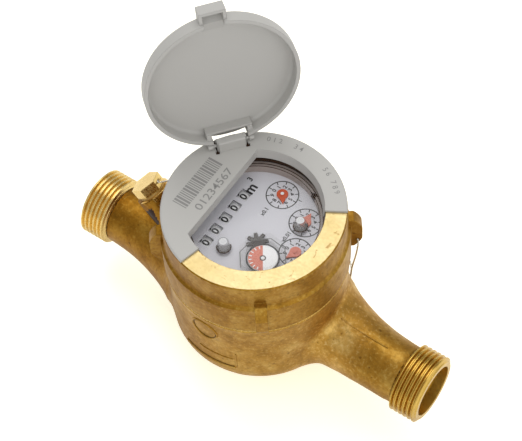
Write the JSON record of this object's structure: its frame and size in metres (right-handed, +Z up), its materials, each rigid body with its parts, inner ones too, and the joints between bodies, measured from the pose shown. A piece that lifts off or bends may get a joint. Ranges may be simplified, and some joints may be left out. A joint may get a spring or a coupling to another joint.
{
  "type": "water meter",
  "caption": "Brass multi-jet water meter with male threaded pipe ends, a glazed roller counter with dials, a hinged lid and an impeller-driven gear train.",
  "frame": {"origin": "centre of the flat base under the bowl", "axes": "+X along the pipe in the direction of flow, +Z up"},
  "size_m": [0.19, 0.0998, 0.1842],
  "materials": {
    "cast_brass": "mottled cast brass",
    "ring_brass": "cast and turned brass",
    "gear_brass": "cut brass",
    "grey_plastic": "moulded light grey",
    "dark_plastic": "moulded black",
    "white_plastic": "moulded white",
    "red_plastic": "moulded red",
    "dial_face": "printed pale dial",
    "clear_plastic": "clear",
    "rubber": "black seal",
    "steel": "drawn steel"
  },
  "bodies": {
    "meter": {"body": "cast_brass", "head_ring": "ring_brass", "slip_ring": "dark_plastic", "glass": "clear_plastic", "glass_gasket": "rubber", "collar": "grey_plastic", "hinge_pin": "steel", "register_housing": "dark_plastic", "dial_plate": "dial_face", "dial_rim": "dial_face", "bearing_plate": "gear_brass", "roller_bracket": "steel", "roller_shaft": "steel", "pinion_shaft": "steel", "pivot_pin": "steel", "jet_chamber": "dark_plastic", "chamber_cover": "grey_plastic", "inlet_strainer": "white_plastic", "regulating_plug": "ring_brass", "plug_seal": "rubber", "regulating_screw": "gear_brass", "seal_wire": "steel"},
    "lid": {"lid": "grey_plastic"},
    "impeller": {"impeller": "white_plastic"},
    "star": {"star_wheel": "dark_plastic", "star_arbor": "gear_brass"},
    "sweep": {"sweep_disc": "white_plastic", "sweep_arbor": "gear_brass"},
    "dial_thousandths": {"arbor_thousandths": "gear_brass", "pointer_thousandths": "red_plastic"},
    "dial_hundredths": {"arbor_hundredths": "gear_brass", "pointer_hundredths": "red_plastic"},
    "dial_tenths": {"arbor_tenths": "gear_brass", "pointer_tenths": "red_plastic"},
    "idler_1": {"idler_1": "gear_brass"},
    "idler_2": {"idler_2": "gear_brass"},
    "idler_3": {"idler_3": "gear_brass"},
    "drive_pinion": {"drive_pinion": "red_plastic"},
    "roller_1": {"roller_1": "white_plastic"},
    "roller_2": {"roller_2": "white_plastic"},
    "roller_3": {"roller_3": "white_plastic"},
    "roller_4": {"roller_4": "white_plastic"},
    "roller_5": {"roller_5": "white_plastic"},
    "carry_pinion_1": {"carry_pinion_1": "red_plastic"},
    "carry_pinion_2": {"carry_pinion_2": "red_plastic"},
    "carry_pinion_3": {"carry_pinion_3": "red_plastic"},
    "carry_pinion_4": {"carry_pinion_4": "red_plastic"}
  },
  "joints": [
    {"name": "lid_hinge", "type": "hinge", "parent": "meter", "child": "lid", "pos_m": [-0.0279, 0.02259, 0.1097], "axis": [-0.6293, -0.7771, 0], "range_deg": [-100.5, 0]},
    {"name": "impeller_spin", "type": "hinge", "parent": "meter", "child": "impeller", "pos_m": [0, 0, 0.036], "axis": [0, 0, 1], "continuous": true},
    {"name": "star_spin", "type": "hinge", "parent": "meter", "child": "star", "pos_m": [0.0063, -0.0072, 0.076], "axis": [0, 0, 1], "continuous": true},
    {"name": "sweep_spin", "type": "hinge", "parent": "meter", "child": "sweep", "pos_m": [0.0134, -0.0132, 0.076], "axis": [0, 0, 1], "continuous": true},
    {"name": "idler_1_spin", "type": "hinge", "parent": "meter", "child": "idler_1", "pos_m": [0.01577, -0.0054, 0.076], "axis": [0, 0, 1], "continuous": true},
    {"name": "thousandths_spin", "type": "hinge", "parent": "meter", "child": "dial_thousandths", "pos_m": [0.023, -0.0021, 0.076], "axis": [0, 0, 1], "continuous": true},
    {"name": "idler_2_spin", "type": "hinge", "parent": "meter", "child": "idler_2", "pos_m": [0.01701, 0.00454, 0.076], "axis": [0, 0, 1], "continuous": true},
    {"name": "hundredths_spin", "type": "hinge", "parent": "meter", "child": "dial_hundredths", "pos_m": [0.018, 0.0132, 0.076], "axis": [0, 0, 1], "continuous": true},
    {"name": "idler_3_spin", "type": "hinge", "parent": "meter", "child": "idler_3", "pos_m": [0.00791, 0.01279, 0.076], "axis": [0, 0, 1], "continuous": true},
    {"name": "tenths_spin", "type": "hinge", "parent": "meter", "child": "dial_tenths", "pos_m": [0.0011, 0.0199, 0.076], "axis": [0, 0, 1], "continuous": true},
    {"name": "drive_pinion_spin", "type": "hinge", "parent": "meter", "child": "drive_pinion", "pos_m": [-0.0053, 0.0199, 0.0864], "axis": [0, 1, 0], "continuous": true},
    {"name": "roller_5_spin", "type": "hinge", "parent": "meter", "child": "roller_5", "pos_m": [-0.0135, 0.01044, 0.0864], "axis": [0, 1, 0], "continuous": true},
    {"name": "carry_pinion_4_spin", "type": "hinge", "parent": "meter", "child": "carry_pinion_4", "pos_m": [-0.0053, 0.00681, 0.0864], "axis": [0, 1, 0], "continuous": true},
    {"name": "roller_4_spin", "type": "hinge", "parent": "meter", "child": "roller_4", "pos_m": [-0.0135, 0.00317, 0.0864], "axis": [0, 1, 0], "continuous": true},
    {"name": "carry_pinion_3_spin", "type": "hinge", "parent": "meter", "child": "carry_pinion_3", "pos_m": [-0.0053, -0.00047, 0.0864], "axis": [0, 1, 0], "continuous": true},
    {"name": "roller_3_spin", "type": "hinge", "parent": "meter", "child": "roller_3", "pos_m": [-0.0135, -0.0041, 0.0864], "axis": [0, 1, 0], "continuous": true},
    {"name": "carry_pinion_2_spin", "type": "hinge", "parent": "meter", "child": "carry_pinion_2", "pos_m": [-0.0053, -0.00773, 0.0864], "axis": [0, 1, 0], "continuous": true},
    {"name": "roller_2_spin", "type": "hinge", "parent": "meter", "child": "roller_2", "pos_m": [-0.0135, -0.01137, 0.0864], "axis": [0, 1, 0], "continuous": true},
    {"name": "carry_pinion_1_spin", "type": "hinge", "parent": "meter", "child": "carry_pinion_1", "pos_m": [-0.0053, -0.015, 0.0864], "axis": [0, 1, 0], "continuous": true},
    {"name": "roller_1_spin", "type": "hinge", "parent": "meter", "child": "roller_1", "pos_m": [-0.0135, -0.01864, 0.0864], "axis": [0, 1, 0], "continuous": true}
  ],
  "couplings": [
    {"joint": "star_spin", "follows": "impeller_spin", "ratio": -0.5},
    {"joint": "sweep_spin", "follows": "impeller_spin", "ratio": 0.20833},
    {"joint": "idler_1_spin", "follows": "impeller_spin", "ratio": -0.069444},
    {"joint": "thousandths_spin", "follows": "impeller_spin", "ratio": 0.020833},
    {"joint": "idler_2_spin", "follows": "impeller_spin", "ratio": -0.0069444},
    {"joint": "hundredths_spin", "follows": "impeller_spin", "ratio": 0.0020833},
    {"joint": "idler_3_spin", "follows": "impeller_spin", "ratio": -0.00069444},
    {"joint": "tenths_spin", "follows": "impeller_spin", "ratio": 0.00020833},
    {"joint": "drive_pinion_spin", "follows": "impeller_spin", "ratio": -0.000052083},
    {"joint": "roller_5_spin", "follows": "impeller_spin", "ratio": 0.000020833},
    {"joint": "carry_pinion_4_spin", "follows": "impeller_spin", "ratio": -0.0000052083},
    {"joint": "roller_4_spin", "follows": "impeller_spin", "ratio": 0.0000020833},
    {"joint": "carry_pinion_3_spin", "follows": "impeller_spin", "ratio": -0.00000052083},
    {"joint": "roller_3_spin", "follows": "impeller_spin", "ratio": 0.00000020833},
    {"joint": "carry_pinion_2_spin", "follows": "impeller_spin", "ratio": -0.000000052083},
    {"joint": "roller_2_spin", "follows": "impeller_spin", "ratio": 0.000000020833},
    {"joint": "carry_pinion_1_spin", "follows": "impeller_spin", "ratio": -0.0000000052083},
    {"joint": "roller_1_spin", "follows": "impeller_spin", "ratio": 0.0000000020833}
  ]
}
